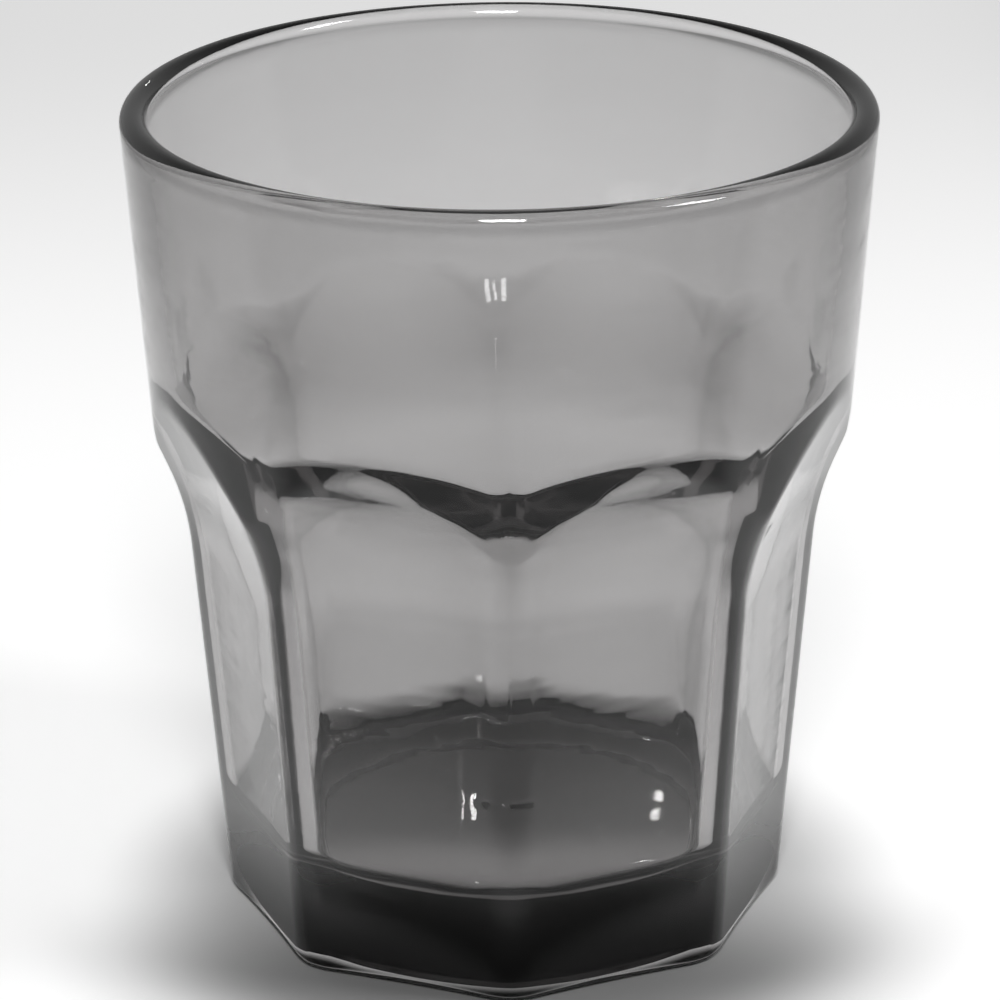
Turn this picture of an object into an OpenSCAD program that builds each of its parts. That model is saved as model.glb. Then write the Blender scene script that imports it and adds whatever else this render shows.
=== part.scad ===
// Eight-sided rocks tumbler, moulded in one piece from clear tinted plastic.
// The origin is the centre of the underside and +Z points up to the rim.
// A round collar carries the rim. Below it eight flat panels meet in rounded ridges, and one
// ridge points along each of +X, -X, +Y and -Y. Inside, a sloping shoulder leads from the round
// collar down to eight flat panels that stand behind the outside ones.

/* [Overall] */
// Height from the table to the top of the rim
height = 95; // [92:1:100]
// Outside diameter that the collar's slope reaches at the height of the rim
mouth_d = 83.8; // [82.6:0.2:86]
// Slope of the collar from vertical, in degrees
collar_draft = 4.1; // [3.5:0.1:4.6]

/* [Outside panels] */
// Distance between two opposite panels, at the table
foot_flats = 59.8; // [59:0.2:61.4]
// Slope of the panels from vertical, in degrees
panel_draft = 4.1; // [3.8:0.1:4.6]
// Height at which the panels begin to curve outwards
cove_z = 43.1; // [40:0.1:45]
// Radius of the curve that carries the panels outwards
cove_r = 33; // [30:1:38]
// Slope from vertical at which that curve ends and runs straight on into the collar, in degrees
flare_draft = 21.6; // [20:0.2:24]
// Radius of the ridges between the panels
ridge_r = 6.5; // [5:0.5:8]
// Radius of the rounded edge at the foot
heel_r = 1.3; // [0.8:0.1:2]

/* [Inside] */
// Thickness of the collar
wall = 2.9; // [2.5:0.1:3.2]
// Distance between two opposite inside panels, if they ran on down to the table
inner_flats = 53.6; // [52:0.2:54]
// Height of the inner floor above the table
floor_z = 10.8; // [8:0.2:14]
// Radius between the inner floor and the wall
floor_r = 4; // [3:0.5:6]
// Radius of the corners between the inside panels
inner_ridge_r = 5.5; // [4:0.5:7]
// Height at which the inside begins to curve outwards into the shoulder
toe_z = 49.6; // [48.6:0.2:50.6]
// Radius of that curve
toe_r = 23.7; // [22:0.1:25]
// Slope from vertical of the steepest part of the shoulder, in degrees
shoulder_draft = 34.2; // [33:0.2:35.2]
// Radius of the curve that turns the shoulder up into the collar
hip_r = 27; // [23:1:29]
// Radius that the inside corners reach where the shoulder meets the collar
shoulder_ridge_r = 30; // [22:1:32]

/* [Underside] */
// Diameter of the shallow recess that the tumbler stands around
recess_d = 48; // [40:1:52]
// Depth of that recess
recess_depth = 0.5; // [0.3:0.1:0.8]

/* [Hidden] */
$fn = 160;
PANELS = 8;
HALF_STEP = 180 / PANELS;
// How far cutting shapes run past the surfaces that they cut
OVER = 10;
// Flat land left at the very top of the full-round rim
RIM_LAND = 0.3;
// Slope from vertical at which the shoulder's upper curve ends, in degrees
HIP_DRAFT = 20;
// Height range over which the inside corners grow to their radius at the shoulder
GROW_START = 53;
GROW_END = 67;
// The ridges' outlines have their points this much lower than the panels' outlines do, so that
// no two edges of the finished part fall on top of each other
OFFSET = 0.35;
rim_r = (wall - RIM_LAND) / 2;

// Radius of the collar's outside at height z
function collar_radius(z) = mouth_d / 2 - (height - z) * tan(collar_draft);

// Evenly spaced numbers from a to b
function spread(a, b, steps) = [for (i = [0 : steps]) a + (b - a) * i / steps];

// Points on an arc about centre c, from angle a to angle b
function arc_points(c, r, a, b, steps) = [
    for (t = spread(a, b, steps)) [c.x + r * cos(t), c.y + r * sin(t)]
];

// How far a rounded lower edge of radius r stands back at height h above its foot
function stand_back(h, r) = h >= r ? 0 : r - sqrt(r * r - (r - h) * (r - h));

// Heights that divide a rounded edge of radius r evenly round its curve
function edge_heights(r, steps) = [for (t = spread(0, 90, steps)) r * (1 - cos(t))];

// How far a curve of radius r has moved sideways where its slope has gone from a to b, and how
// far it has climbed
function sideways(r, a, b) = r * abs(cos(a) - cos(b));
function climb(r, a, b) = r * abs(sin(b) - sin(a));

// Slope that a curve of radius r has after climbing h from the slope a
function slope_after(r, a, h) = asin(sin(a) + h / r);

// Half the distance between two opposite outside panels at height z
cove_x = foot_flats / 2 + cove_z * tan(panel_draft);
flare_x = cove_x + sideways(cove_r, panel_draft, flare_draft);
flare_z = cove_z + climb(cove_r, panel_draft, flare_draft);
function outside_x(z) =
    z < cove_z ? foot_flats / 2 + z * tan(panel_draft) - stand_back(z, heel_r)
    : z < flare_z ? cove_x + sideways(cove_r, panel_draft, slope_after(cove_r, panel_draft, z - cove_z))
    : flare_x + (z - flare_z) * tan(flare_draft);

// Half the distance between two opposite inside panels at height z
toe_x = inner_flats / 2 + toe_z * tan(panel_draft);
shoulder_x = toe_x + sideways(toe_r, panel_draft, shoulder_draft);
shoulder_z = toe_z + climb(toe_r, panel_draft, shoulder_draft);
hip_x = shoulder_x + sideways(hip_r, shoulder_draft, HIP_DRAFT);
hip_z = shoulder_z + climb(hip_r, shoulder_draft, HIP_DRAFT);
function inside_x(z) =
    z < toe_z ? inner_flats / 2 + z * tan(panel_draft) - stand_back(z - floor_z, floor_r)
    : z < shoulder_z ? toe_x + sideways(toe_r, panel_draft, slope_after(toe_r, panel_draft, z - toe_z))
    : z < hip_z ? shoulder_x
        + sideways(hip_r, shoulder_draft, slope_after(hip_r, shoulder_draft, shoulder_z - z))
    : hip_x + (z - hip_z) * tan(HIP_DRAFT);

// Radius of the corners between the inside panels at height z
function inside_corner(z) =
    let (grown = min(max((z - GROW_START) / (GROW_END - GROW_START), 0), 1))
    inner_ridge_r + (shoulder_ridge_r - inner_ridge_r) * grown;

// Radius of the rounded ridge where two panels at distance x from the axis meet
function ridge_radius(x, r) = (x - r) / cos(HALF_STEP) + r;

// Heights of the outlines' points, from the foot up; the last one is well above the rim
TOP = height + 2 * OVER;
outside_heights = concat(edge_heights(heel_r, 5), spread(cove_z, flare_z, 8), [TOP]);
outside_ridge_heights = concat(edge_heights(heel_r * 0.9, 5), spread(cove_z, flare_z, 7), [TOP]);
inside_heights = concat(
    [for (h = edge_heights(floor_r, 6)) floor_z + h],
    spread(toe_z, shoulder_z, 9),
    spread(shoulder_z, hip_z, 4),
    [TOP]
);
inside_ridge_heights = concat(
    [for (h = edge_heights(floor_r * 0.9, 6)) floor_z + h],
    spread(toe_z, hip_z, 16),
    [GROW_END + OFFSET, TOP]
);

// The ridges' points are lowered, apart from those on the rounded edge at the foot
function lowered(z, above) = z < above || z == TOP ? z : z - OFFSET;

outside_line = [for (z = outside_heights) [outside_x(z), z]];
outside_ridge = [
    for (h = outside_ridge_heights)
        let (z = lowered(h, cove_z))
        [ridge_radius(outside_x(z), ridge_r), z]
];
inside_line = [for (z = inside_heights) [inside_x(z), z]];
inside_ridge = [
    for (h = inside_ridge_heights)
        let (z = lowered(h, toe_z))
        [ridge_radius(inside_x(z), inside_corner(z)), z]
];

// Closed outline that has the line on its right and the line's mirror image on its left
function both_sides(line) = concat(
    line,
    [for (i = [len(line) - 1 : -1 : 0]) [-line[i].x, line[i].y]]
);

// Eight-sided solid whose panels follow the line
module panelled_solid(line) {
    intersection_for (k = [0 : PANELS / 2 - 1])
        rotate([0, 0, HALF_STEP + k * 2 * HALF_STEP])
            rotate([90, 0, 0])
                linear_extrude(height = 4 * mouth_d, center = true)
                    polygon(both_sides(line));
}

// Round solid whose outline follows the line
module round_solid(line) {
    foot_z = line[0].y;
    rotate_extrude()
        polygon(concat([[0, foot_z]], line, [[0, TOP]]));
}

// Outside of the round collar, with the outer half of the full-round rim
module collar_outside() {
    side_r = collar_radius(height - rim_r);
    rotate_extrude()
        polygon(concat(
            [[0, 0], [collar_radius(0), 0]],
            arc_points([side_r - rim_r, height - rim_r], rim_r, 0, 90, 8),
            [[0, height]]
        ));
}

// Inside of the round collar, with the inner half of the full-round rim
module collar_inside() {
    side_r = collar_radius(height - rim_r) - wall;
    low_z = floor_z - OVER;
    rotate_extrude()
        polygon(concat(
            [[0, low_z], [collar_radius(low_z) - wall, low_z]],
            arc_points([side_r + rim_r, height - rim_r], rim_r, 180, 90, 8),
            [[side_r + rim_r, height + OVER], [0, height + OVER]]
        ));
}

// Space for the drink
module cavity() {
    intersection() {
        collar_inside();
        round_solid(inside_ridge);
        panelled_solid(inside_line);
    }
}

// The whole moulding: rim, collar, panels and thick base
module tumbler_body() {
    color([0.36, 0.36, 0.37, 0.6])
        difference() {
            intersection() {
                collar_outside();
                round_solid(outside_ridge);
                panelled_solid(outside_line);
            }
            cavity();
            translate([0, 0, -OVER])
                cylinder(h = OVER + recess_depth, d = recess_d);
        }
}

tumbler_body();
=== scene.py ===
import math

import bpy
import numpy as np
from mathutils import Matrix, Vector


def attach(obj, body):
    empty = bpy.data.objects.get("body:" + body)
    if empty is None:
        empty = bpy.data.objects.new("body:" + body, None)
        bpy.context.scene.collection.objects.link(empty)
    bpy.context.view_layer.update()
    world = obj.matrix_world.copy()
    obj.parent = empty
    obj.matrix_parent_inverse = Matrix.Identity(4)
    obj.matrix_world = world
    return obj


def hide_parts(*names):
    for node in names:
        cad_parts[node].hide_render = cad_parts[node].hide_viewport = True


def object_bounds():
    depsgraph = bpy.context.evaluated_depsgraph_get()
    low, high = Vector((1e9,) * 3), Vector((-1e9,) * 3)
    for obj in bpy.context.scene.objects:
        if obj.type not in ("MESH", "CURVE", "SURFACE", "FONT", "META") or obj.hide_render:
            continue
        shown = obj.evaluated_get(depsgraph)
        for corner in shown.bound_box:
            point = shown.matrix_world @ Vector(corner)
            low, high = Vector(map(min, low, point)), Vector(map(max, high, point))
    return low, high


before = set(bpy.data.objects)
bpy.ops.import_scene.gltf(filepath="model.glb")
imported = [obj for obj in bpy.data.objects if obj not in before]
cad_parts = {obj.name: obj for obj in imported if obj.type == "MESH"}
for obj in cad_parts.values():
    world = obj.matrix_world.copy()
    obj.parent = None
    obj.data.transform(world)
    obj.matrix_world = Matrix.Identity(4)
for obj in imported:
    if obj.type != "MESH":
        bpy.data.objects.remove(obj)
cad_low, cad_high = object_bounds()

# ---- sizes of the tumbler, in millimetres and degrees ----
MM = 0.001
HEIGHT = cad_high[2] / MM
WIDEST = min(-cad_low[0], -cad_low[1], cad_high[0], cad_high[1]) / MM

PANELS = 8
HALF = math.pi / PANELS

# round collar and full-round rim
COLLAR_SLOPE = 0.07168
COLLAR_WALL = 2.9
RIM_R = 1.54

# outside panels: half the distance between two opposite ones at the table, how far their middles
# are hollowed, the curve that carries them outwards, and the ridges between them
FOOT_X = 30.17
HOLLOW = 0.4
DRAFT = 4.1
COVE_Z = 43.1
COVE_R = 33.0
FLARE = 21.6
RIDGE_R = 7.4
RIDGE_SHRINK = 0.04
HEEL_R = 1.3

# inside panels: the same, with a steep shoulder between two curves and crowned tops
INNER_X = 26.8
TOE_Z = 49.6
TOE_R = 23.7
SHOULDER = 34.2
HIP_R = 27.0
HIP_END = 20.0
INNER_RIDGE_R = 5.5
HIP_RIDGE_R = 6.5
CROWN = 1.9
CROWN_FROM = 53.0
CROWN_TO = 67.0

# inner floor, dished, with the moulding gate's mark in the middle
FLOOR_Z = 10.8
FLOOR_R = 4.0
DISH = 0.6
GATE = ((1.3, 0.0), (1.1, 0.05), (0.9, 0.2), (0.5, 0.28))
GATE_TOP = 0.3

# shallow recess in the underside
RECESS_R = 24.0
RECESS = 0.5
RECESS_EDGE = 0.5

# how softly the collar and the panels run into each other, outside and inside
OUTER_BLEND = 0.35
INNER_BLEND = 0.15
# between which heights each of those two creases runs
OUTER_CREASE_Z = (45.0, 85.0)
INNER_CREASE_Z = (52.0, 85.0)

# ---- mesh: how many rows or columns each stretch takes ----
RIDGE_ANGLE = 6.0
COLUMNS = 12
HEEL_ROWS = 8
PANEL_ROWS = 69
COLLAR_ROWS = 15
RIM_ROWS = 24
INNER_ROWS = 59
FLOOR_EDGE_ROWS = 18
# heights of the rows next to a crease, measured from the crease
NEAR_CREASE = (-1.2, -0.8, -0.5, -0.25, 0.0, 0.25, 0.5, 0.8, 1.2)
# radii of the rows on the flat of the recess, and shares of the inner floor's radius
RECESS_ROWS = (6.0, 12.0, 18.0, 22.0, RECESS_R - RECESS_EDGE)
FLOOR_ROWS = (0.85, 0.7, 0.55, 0.4, 0.25, 0.1)
HALVINGS = 40

# ---- plastic ----
IOR = 1.585
# the colour that gets through, and how fast the rest is taken up
TINT = (0.02, 0.0, 0.0, 1.0)
TINT_PER_METRE = 134.0
# roughness of the clear and of the hazy patches, and the part of the noise that turns one to the other
HAZE = (0.008, 0.06)
HAZE_NOISE = (0.45, 0.75)
HAZE_PATCHES_PER_METRE = 90.0
# the flow waves, closest together along the height
WAVES_PER_METRE = (60.0, 60.0, 190.0)
WAVE_HEIGHT = 0.00006

# ---- floor, painted with light and shade: how bright it is, and from where to where, in metres, each zone fades in or out ----
FLOOR_SIZE = 6.0
FLOOR_ALBEDO = 0.8
FLOOR_ROUGHNESS = 0.9
# painted light: the table glows instead of being lit; the glow starts at the foot, leaving painted
# shade under and round it, and dims far behind
GLOW = 0.55
GLOW_RADII = (0.030, 0.050)
GLOW_FAR = 0.64
GLOW_FAR_Y = (0.12, 0.38)
# painted light: the floor glows in a disc under the recess, mostly in its front half, so light comes
# up through the recess
DISC_FRONT = 1.5
DISC_BACK = 0.12
DISC_RADII = (0.023, 0.027)
DISC_Y = (-0.014, 0.002)
# painted shadow at the front of the foot, and a painted darker pool ahead of it that the base mirrors
SHADE = 0.7
SHADE_RADII = (0.036, 0.060)
SHADE_Y = (-0.028, 0.0)
POOL = 0.7
POOL_RADII = (0.044, 0.056)
POOL_Y = (-0.038, -0.033)
# painted shade: dimmer table to the sides and ahead
SIDES = 0.55
SIDES_X = (0.08, 0.22)
AHEAD = 0.4
AHEAD_Y = (-0.07, -0.042)

# ---- surroundings ----
SKY_FRONT = 0.08
SKY_BACK = 0.36
SKY_DEPTH = (-0.55, 0.35)
SKY_TOP = 0.4
SKY_TOP_UP = (0.35, 0.85)
# name, degrees to the right of the front, degrees up, distance, width, height, watts
SOFTBOXES = (
    ("key", 0.0, 46.0, 1.6, 0.3, 0.5, 12.0),
    ("side", 72.0, 45.0, 1.6, 0.25, 0.5, 6.0),
    ("rear", 175.2, 23.0, 1.2, 0.010, 0.025, 0.03),
)
AIM = Vector((0, 0, 0.06))

# ---- camera: place in metres, angles in radians, sensor and lens in millimetres ----
CAMERA_DISTANCE = 0.480538
CAMERA_HEIGHT = 0.235741
CAMERA_PITCH = 0.373195
CAMERA_YAW = -0.000507
CAMERA_ROLL = -0.007692
CAMERA_TURN = 0.018669
SENSOR = 36.0
LENS = 163.301


# ---- outlines ----
def bearings():
    """Directions of the mesh columns: close together on the ridges, wider apart on the panels."""
    ridge = np.linspace(0, RIDGE_ANGLE, COLUMNS + 1)
    flat = np.linspace(RIDGE_ANGLE, math.degrees(HALF), COLUMNS + 1)[1:]
    half = np.radians(np.concatenate([ridge, flat]))
    step = np.concatenate([half, 2 * HALF - half[::-1][1:-1]])
    return np.concatenate([step + k * 2 * HALF for k in range(PANELS)])


def octagon(phi, x, ridge_r, hollow):
    """Radius of a rounded octagon whose panels lie x from the axis, hollowed in the middle."""
    from_ridge = np.abs((phi + HALF) % (2 * HALF) - HALF)
    from_middle = HALF - from_ridge
    along = x * np.tan(from_middle)
    longest = x * math.tan(HALF)
    flat = x / np.cos(from_middle) - hollow * (1 - (along / longest) ** 2)
    centre = (x - ridge_r) / math.cos(HALF)
    end = np.arctan2(ridge_r * math.sin(HALF), centre + ridge_r * math.cos(HALF))
    reach = np.sqrt(np.maximum(ridge_r ** 2 - (centre * np.sin(from_ridge)) ** 2, 0))
    rounded = centre * np.cos(from_ridge) + reach
    rounded = rounded - hollow * (1 - (np.minimum(along, longest) / longest) ** 2)
    return np.where(from_ridge < end, rounded, flat)


def outer_x(z):
    """Distance of the outside panels from the axis: a drafted wall, a curve, a straight flare."""
    draft, flare = math.radians(DRAFT), math.radians(FLARE)
    start = FOOT_X + COVE_Z * math.tan(draft)
    centre_x = start + COVE_R * math.cos(draft)
    centre_z = COVE_Z - COVE_R * math.sin(draft)
    end_x = centre_x - COVE_R * math.cos(flare)
    end_z = centre_z + COVE_R * math.sin(flare)
    up = np.clip(z - centre_z, -COVE_R, COVE_R)
    curve = centre_x - np.sqrt(np.maximum(COVE_R ** 2 - up ** 2, 0))
    straight = end_x + (z - end_z) * math.tan(flare)
    return np.where(z < COVE_Z, FOOT_X + z * math.tan(draft), np.where(z < end_z, curve, straight))


def inner_x(z):
    """Distance of the inside panels from the axis: drafted wall, toe curve, hip curve, straight."""
    draft, steep, end = math.radians(DRAFT), math.radians(SHOULDER), math.radians(HIP_END)
    toe_x = INNER_X + TOE_Z * math.tan(draft)
    hip_z = TOE_Z + TOE_R * (math.sin(steep) - math.sin(draft))
    hip_x = toe_x + TOE_R * (math.cos(draft) - math.cos(steep))
    end_z = hip_z + HIP_R * (math.sin(steep) - math.sin(end))
    sine = np.clip(math.sin(draft) + (z - TOE_Z) / TOE_R, -1, 1)
    toe = toe_x + TOE_R * (math.cos(draft) - np.sqrt(1 - sine ** 2))
    sine = np.clip(math.sin(steep) - (z - hip_z) / HIP_R, math.sin(end), 1)
    hip = hip_x + HIP_R * (np.sqrt(1 - sine ** 2) - math.cos(steep))
    hip = hip + np.maximum(z - end_z, 0) * math.tan(end)
    wall = INNER_X + z * math.tan(draft)
    return np.where(z < TOE_Z, wall, np.where(z < hip_z, toe, hip))


def outer_collar(z):
    return WIDEST - (HEIGHT - RIM_R - z) * COLLAR_SLOPE


def inner_collar(z):
    return outer_collar(z) - COLLAR_WALL


def outer_panels(phi, z):
    return octagon(phi, outer_x(z), RIDGE_R - RIDGE_SHRINK * z, HOLLOW)


def inner_panels(phi, z):
    grown = np.clip((z - CROWN_FROM) / (CROWN_TO - CROWN_FROM), 0, 1)
    ridge_r = INNER_RIDGE_R + (HIP_RIDGE_R - INNER_RIDGE_R) * grown
    return octagon(phi, inner_x(z) - CROWN * grown, ridge_r, -CROWN * grown)


def outer_wall(phi, z):
    """The smaller of the collar and the panels, blended over a short way."""
    collar, panels = outer_collar(z), outer_panels(phi, z)
    share = np.maximum(OUTER_BLEND - np.abs(collar - panels), 0) / OUTER_BLEND
    return np.minimum(collar, panels) - share * share * OUTER_BLEND / 4


def inner_wall(phi, z):
    collar, panels = inner_collar(z), inner_panels(phi, z)
    return (collar + panels - np.sqrt((collar - panels) ** 2 + INNER_BLEND ** 2)) / 2


def crease(phi, collar, panels, between):
    """Height at which the panels reach the collar, for each bearing, by halving the range."""
    low, high = (np.full_like(phi, z) for z in between)
    for _ in range(HALVINGS):
        middle = (low + high) / 2
        inside = collar(middle) > panels(phi, middle)
        low, high = np.where(inside, middle, low), np.where(inside, high, middle)
    return (low + high) / 2


# ---- the mesh, as rows of (radius, height) from the underside round to the inner floor ----
def shares(count):
    """Even steps, from the first one above 0 up to 1."""
    return np.linspace(0, 1, count + 1)[1:]


def underside_rows(phi):
    rows = [(r, RECESS) for r in RECESS_ROWS]
    for t in shares(4):
        r = RECESS_R - RECESS_EDGE + 2 * RECESS_EDGE * t
        rows.append((r, RECESS * (1 + math.cos(math.pi * t)) / 2))
    edge = octagon(phi, heel_x(), RIDGE_R - HEEL_R, HOLLOW)
    for t in (0.3, 0.6, 0.85, 1.0):
        rows.append(((RECESS_R + RECESS_EDGE) * (1 - t) + edge * t, 0))
    return rows


def heel_x():
    """Distance from the axis of the centre of the rounded edge at the foot."""
    draft = math.radians(DRAFT)
    return FOOT_X + HEEL_R * math.tan(draft) - HEEL_R / math.cos(draft)


def heel_rows(phi):
    rows = []
    for t in shares(HEEL_ROWS):
        angle = math.radians(-90 + t * (90 - DRAFT))
        x = heel_x() + HEEL_R * math.cos(angle)
        ridge_r = RIDGE_R - HEEL_R * (1 - math.cos(angle))
        rows.append((octagon(phi, x, ridge_r, HOLLOW), HEEL_R * (1 + math.sin(angle))))
    return rows


def outer_rows(phi):
    heel_top = HEEL_R * (1 - math.sin(math.radians(DRAFT)))
    edge = crease(phi, outer_collar, outer_panels, OUTER_CREASE_Z)
    low, high = edge + NEAR_CREASE[0], edge + NEAR_CREASE[-1]
    heights = [heel_top + (low - heel_top) * t for t in shares(PANEL_ROWS)[:-1]]
    heights += [edge + step for step in NEAR_CREASE]
    heights += [high + (HEIGHT - RIM_R - high) * t for t in shares(COLLAR_ROWS)]
    return [(outer_wall(phi, z), z) for z in heights]


def rim_rows():
    angles = [math.pi * t for t in shares(RIM_ROWS)[:-1]]
    middle = WIDEST - RIM_R
    return [(middle + RIM_R * math.cos(a), HEIGHT - RIM_R + RIM_R * math.sin(a)) for a in angles]


def inner_rows(phi):
    edge = crease(phi, inner_collar, inner_panels, INNER_CREASE_Z)
    low, high = edge + NEAR_CREASE[0], edge + NEAR_CREASE[-1]
    top, bottom = HEIGHT - RIM_R, FLOOR_Z + FLOOR_R
    heights = [top] + [top + (high - top) * t for t in shares(COLLAR_ROWS)[:-1]]
    heights += [edge + step for step in NEAR_CREASE[::-1]]
    heights += [low * (1 - t) + bottom * t for t in shares(INNER_ROWS)]
    return [(inner_wall(phi, z), z) for z in heights]


def floor_rows(phi):
    """Round edge, where the octagon turns into a circle, then the dished floor and the gate."""
    rows = []
    wall_x = inner_x(FLOOR_Z + FLOOR_R)
    for t in shares(FLOOR_EDGE_ROWS):
        angle = math.radians(90 * t)
        x = wall_x - FLOOR_R * (1 - math.cos(angle))
        round_share = t * t * (3 - 2 * t)
        ridge_r = INNER_RIDGE_R * (1 - round_share) + x * round_share * 0.999
        rows.append((octagon(phi, x, ridge_r, 0.0), FLOOR_Z + FLOOR_R * (1 - math.sin(angle))))
    edge = rows[-1][0]
    rows += [(edge * f, FLOOR_Z - DISH * (1 - f * f)) for f in FLOOR_ROWS]
    return rows + [(r, FLOOR_Z - DISH + up) for r, up in GATE]


def tumbler_mesh():
    phi = bearings()
    count = len(phi)
    rows = underside_rows(phi) + heel_rows(phi) + outer_rows(phi) + rim_rows()
    rows += inner_rows(phi) + floor_rows(phi)
    points = [(0, 0, RECESS * MM)]
    for r, z in rows:
        x, y = r * np.cos(phi) * MM, r * np.sin(phi) * MM
        points += list(zip(x, y, np.broadcast_to(z, phi.shape) * MM))
    points.append((0, 0, (FLOOR_Z - DISH + GATE_TOP) * MM))
    last, inner = len(points) - 1, 1 + (len(rows) - 1) * count
    faces = []
    for j in range(count):
        k = (j + 1) % count
        faces.append((0, 1 + k, 1 + j))
        faces.append((inner + j, inner + k, last))
        for i in range(len(rows) - 1):
            a, b = 1 + i * count, 1 + (i + 1) * count
            faces.append((a + j, a + k, b + k, b + j))
    mesh = bpy.data.meshes.new("tumbler")
    mesh.from_pydata(points, [], faces)
    mesh.update()
    mesh.shade_smooth()
    return mesh


# ---- node helpers ----
def add(tree, kind, **settings):
    """A new node; each setting is put on the input of that name, with _ for a space."""
    node = tree.nodes.new(kind)
    for name, value in settings.items():
        node.inputs[name.replace("_", " ")].default_value = value
    return node


def ramp(tree, source, ends, at_low, at_high):
    """A smooth step from at_low to at_high while the source goes from one end to the other."""
    low, high = ends
    node = add(tree, "ShaderNodeMapRange", From_Min=low, From_Max=high, To_Min=at_low, To_Max=at_high)
    node.interpolation_type = "SMOOTHSTEP"
    tree.links.new(source, node.inputs["Value"])
    return node.outputs[0]


def maths(tree, operation, *terms):
    """A Math node; each term is a number or another node's output."""
    node = tree.nodes.new("ShaderNodeMath")
    node.operation = operation
    for socket, term in zip(node.inputs, terms):
        if isinstance(term, bpy.types.NodeSocket):
            tree.links.new(term, socket)
        else:
            socket.default_value = term
    return node.outputs[0]


def object_place(tree):
    return tree.nodes.new("ShaderNodeTexCoord").outputs["Object"]


# ---- materials ----
def handling_haze(tree, shader):
    """Patches of faint haze where the plastic has been handled and washed."""
    low, high = HAZE_NOISE
    clear, hazy = HAZE
    noise = add(tree, "ShaderNodeTexNoise", Scale=HAZE_PATCHES_PER_METRE, Detail=4.0)
    haze = add(tree, "ShaderNodeMapRange", From_Min=low, From_Max=high, To_Min=clear, To_Max=hazy)
    tree.links.new(object_place(tree), noise.inputs["Vector"])
    tree.links.new(noise.outputs["Fac"], haze.inputs["Value"])
    tree.links.new(haze.outputs[0], shader.inputs["Roughness"])


def flow_waves(tree, shader):
    """Shallow level waves that the plastic keeps from flowing into the mould."""
    stretch = add(tree, "ShaderNodeMapping", Scale=WAVES_PER_METRE)
    noise = add(tree, "ShaderNodeTexNoise", Scale=1.0, Detail=2.0)
    bump = add(tree, "ShaderNodeBump", Strength=1.0, Distance=WAVE_HEIGHT)
    tree.links.new(object_place(tree), stretch.inputs["Vector"])
    tree.links.new(stretch.outputs[0], noise.inputs["Vector"])
    tree.links.new(noise.outputs["Fac"], bump.inputs["Height"])
    tree.links.new(bump.outputs[0], shader.inputs["Normal"])


def smoke_plastic():
    material = bpy.data.materials.new("smoke_plastic")
    material.use_nodes = True
    tree = material.node_tree
    shader = tree.nodes["Principled BSDF"]
    shader.inputs["Base Color"].default_value = (1, 1, 1, 1)
    shader.inputs["Transmission Weight"].default_value = 1
    shader.inputs["IOR"].default_value = IOR
    tint = add(tree, "ShaderNodeVolumeAbsorption", Color=TINT, Density=TINT_PER_METRE)
    tree.links.new(tint.outputs[0], tree.nodes["Material Output"].inputs["Volume"])
    handling_haze(tree, shader)
    flow_waves(tree, shader)
    return material


def floor_glow(tree, radius, y):
    """Painted light: the glowing table, and the glowing disc under the tumbler."""
    table = maths(tree, "MULTIPLY", ramp(tree, radius, GLOW_RADII, 0.0, GLOW),
                  ramp(tree, y, GLOW_FAR_Y, 1.0, GLOW_FAR))
    disc = maths(tree, "MULTIPLY", ramp(tree, radius, DISC_RADII, 1.0, 0.0),
                 ramp(tree, y, DISC_Y, DISC_FRONT, DISC_BACK))
    return maths(tree, "ADD", table, disc)


def lit_share(tree, radius, y, depth, radii, front):
    """What a painted shadow in front of the foot leaves of the light."""
    shadow = maths(tree, "MULTIPLY", ramp(tree, radius, radii, depth, 0.0),
                   ramp(tree, y, front, 1.0, 0.0))
    return maths(tree, "SUBTRACT", 1.0, shadow)


def floor_shade(tree, radius, x, y):
    """The two painted shadows at the foot, and the painted shade that dims the table ahead and to the
    sides.
    """
    near = maths(tree, "MULTIPLY", lit_share(tree, radius, y, SHADE, SHADE_RADII, SHADE_Y),
                 lit_share(tree, radius, y, POOL, POOL_RADII, POOL_Y))
    edges = maths(tree, "MULTIPLY", ramp(tree, maths(tree, "ABSOLUTE", x), SIDES_X, 1.0, SIDES),
                  ramp(tree, y, AHEAD_Y, AHEAD, 1.0))
    return maths(tree, "MULTIPLY", near, edges)


def pale_floor():
    material = bpy.data.materials.new("floor")
    material.use_nodes = True
    tree = material.node_tree
    shader = tree.nodes["Principled BSDF"]
    place = object_place(tree)
    apart = tree.nodes.new("ShaderNodeSeparateXYZ")
    tree.links.new(place, apart.inputs[0])
    length = tree.nodes.new("ShaderNodeVectorMath")
    length.operation = "LENGTH"
    tree.links.new(place, length.inputs[0])
    radius = length.outputs["Value"]
    glow = floor_glow(tree, radius, apart.outputs["Y"])
    shade = floor_shade(tree, radius, apart.outputs["X"], apart.outputs["Y"])
    # painted light and painted shade: the floor's glow and its colour both follow the zones above
    tree.links.new(maths(tree, "MULTIPLY", glow, shade), shader.inputs["Emission Strength"])
    tree.links.new(maths(tree, "MULTIPLY", shade, FLOOR_ALBEDO), shader.inputs["Base Color"])
    shader.inputs["Emission Color"].default_value = (1, 1, 1, 1)
    shader.inputs["Roughness"].default_value = FLOOR_ROUGHNESS
    return material


# ---- things in the scene ----
def tumbler():
    piece = bpy.data.objects.new("tumbler", tumbler_mesh())
    bpy.context.scene.collection.objects.link(piece)
    piece.data.materials.append(smoke_plastic())
    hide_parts("tumbler_body")
    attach(piece, "root")


def floor():
    bpy.ops.mesh.primitive_plane_add(size=FLOOR_SIZE, location=(0, 0, 0))
    plane = bpy.context.object
    plane.name = "floor"
    plane.data.materials.append(pale_floor())


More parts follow.
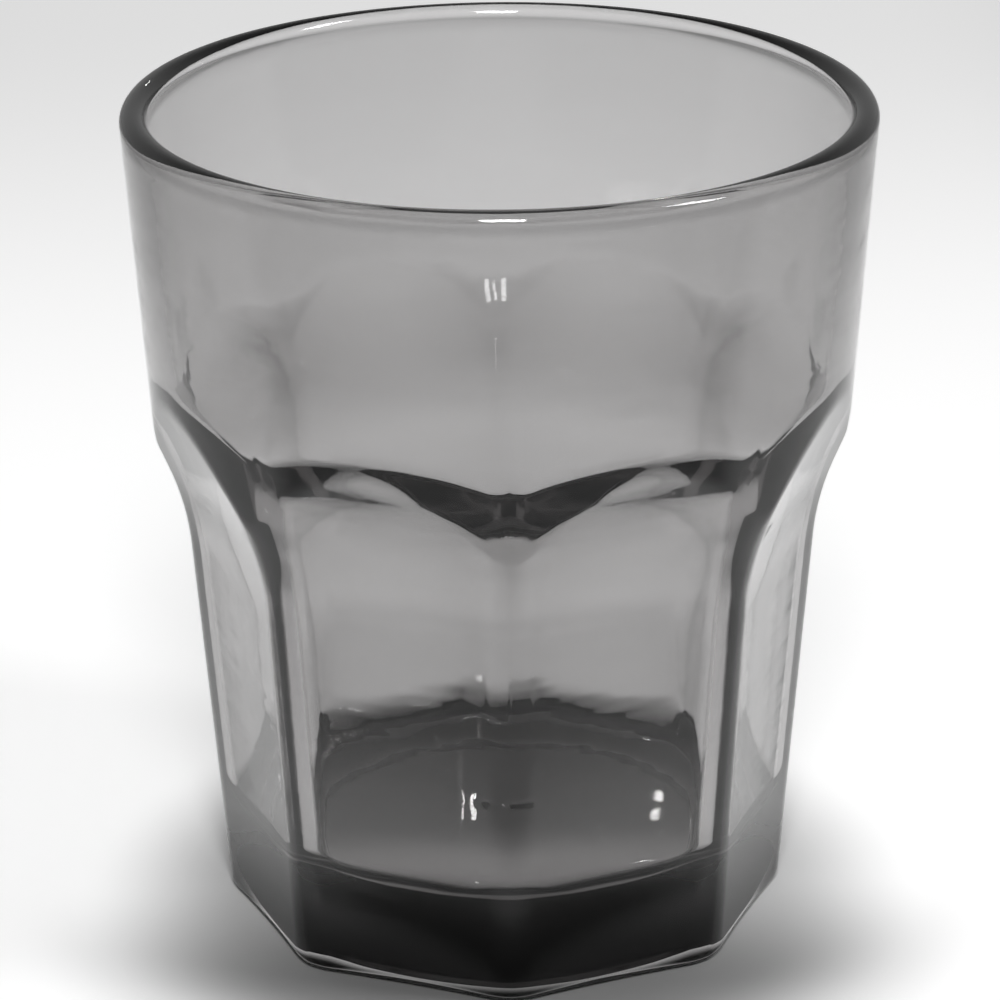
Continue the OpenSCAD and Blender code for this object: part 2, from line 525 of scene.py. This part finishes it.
def sky():
    """Dim room: lighter behind the tumbler than in front of it, and darker overhead."""
    world = bpy.data.worlds.new("world")
    bpy.context.scene.world = world
    world.use_nodes = True
    tree = world.node_tree
    apart = tree.nodes.new("ShaderNodeSeparateXYZ")
    tree.links.new(tree.nodes.new("ShaderNodeTexCoord").outputs["Generated"], apart.inputs[0])
    depth = ramp(tree, apart.outputs["Y"], SKY_DEPTH, SKY_FRONT, SKY_BACK)
    overhead = ramp(tree, apart.outputs["Z"], SKY_TOP_UP, 1.0, SKY_TOP)
    background = tree.nodes["Background"]
    background.inputs["Color"].default_value = (1, 1, 1, 1)
    tree.links.new(maths(tree, "MULTIPLY", depth, overhead), background.inputs["Strength"])


def softbox(name, azimuth, elevation, distance, width, height, watts):
    light = bpy.data.lights.new(name, "AREA")
    light.shape = "RECTANGLE"
    light.size, light.size_y = width, height
    light.energy = watts
    lamp = bpy.data.objects.new(name, light)
    a, e = math.radians(azimuth - 90), math.radians(elevation)
    toward = Vector((math.cos(e) * math.cos(a), math.cos(e) * math.sin(a), math.sin(e)))
    lamp.location = AIM + toward * distance
    lamp.rotation_euler = toward.to_track_quat("Z", "Y").to_euler()
    bpy.context.scene.collection.objects.link(lamp)


def camera():
    lens = bpy.data.cameras.new("camera")
    lens.sensor_width = SENSOR
    lens.lens = LENS
    lens.clip_start = 0.01
    eye = bpy.data.objects.new("camera", lens)
    bpy.context.scene.collection.objects.link(eye)
    # a camera at rest looks down; these turns raise it to the horizon and aim it
    aim = Matrix.Rotation(math.pi / 2 - CAMERA_PITCH, 4, "X")
    turn = Matrix.Rotation(-CAMERA_YAW, 4, "Y") @ Matrix.Rotation(CAMERA_ROLL, 4, "Z")
    place = Matrix.Translation((0, -CAMERA_DISTANCE, CAMERA_HEIGHT))
    eye.matrix_world = Matrix.Rotation(-CAMERA_TURN, 4, "Z") @ place @ aim @ turn
    bpy.context.scene.camera = eye


def look():
    scene = bpy.context.scene
    scene.view_settings.view_transform = "Standard"
    scene.cycles.max_bounces = 32
    scene.cycles.transmission_bounces = 32
    scene.cycles.glossy_bounces = 16


tumbler()
floor()
sky()
for box in SOFTBOXES:
    softbox(*box)
camera()
look()
